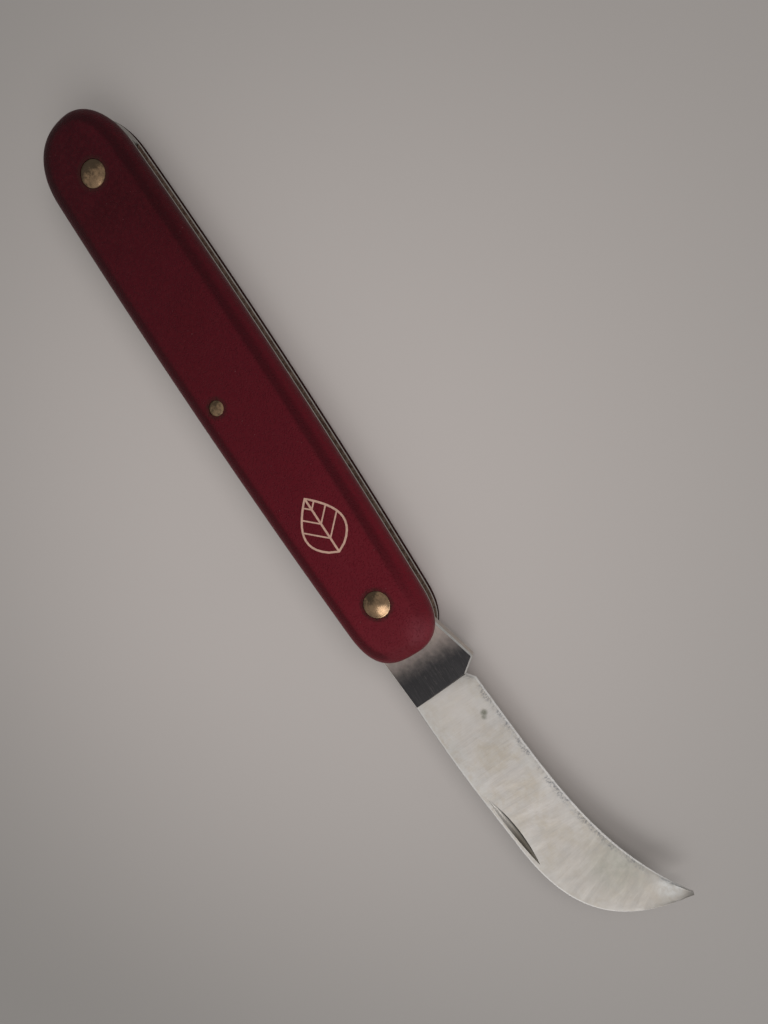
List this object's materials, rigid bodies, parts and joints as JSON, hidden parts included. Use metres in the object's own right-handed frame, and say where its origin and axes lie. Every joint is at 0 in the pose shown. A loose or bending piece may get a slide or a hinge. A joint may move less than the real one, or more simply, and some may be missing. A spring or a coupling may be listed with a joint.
{
  "type": "grafting knife",
  "caption": "Folding gardener's knife with a hooked slip-joint blade, two moulded scales, thin metal liners, domed rivets and a leaf inlay.",
  "frame": {"origin": "bottom centre of the open knife's box, on the plane of the rear scale's outer face", "axes": "+X from the butt towards the blade tip, +Y towards the slot and the cutting edge, +Z out of the front scale"},
  "size_m": [0.1534, 0.0246, 0.0097],
  "materials": {
    "nylon": "satin moulded nylon, fine grain, slightly worn",
    "liner": "thin sheet with dulled, slightly dirty edges",
    "spring_steel": "ground along its length, dull",
    "blade_steel": "satin ground across the blade, worn along the edge",
    "rivet_brass": "tarnished, with polished high spots",
    "inlay": "thin stamped metal, flush with the scale"
  },
  "bodies": {
    "handle": {"front_scale": "nylon", "rear_scale": "nylon", "front_liner": "liner", "rear_liner": "liner", "back_spring": "spring_steel", "pivot_pin": "rivet_brass", "pivot_collar_front": "rivet_brass", "pivot_collar_rear": "rivet_brass", "end_pin": "rivet_brass", "end_collar_front": "rivet_brass", "end_collar_rear": "rivet_brass", "centre_pin": "rivet_brass", "leaf_inlay": "inlay"},
    "blade": {"blade": "blade_steel"}
  },
  "joints": [
    {"name": "blade_pivot", "type": "hinge", "parent": "handle", "child": "blade", "pos_m": [0.0132, -0.00349, 0.00459], "axis": [0, 0, 1], "range_deg": [0, 170], "deforming": ["back_spring"]}
  ]
}
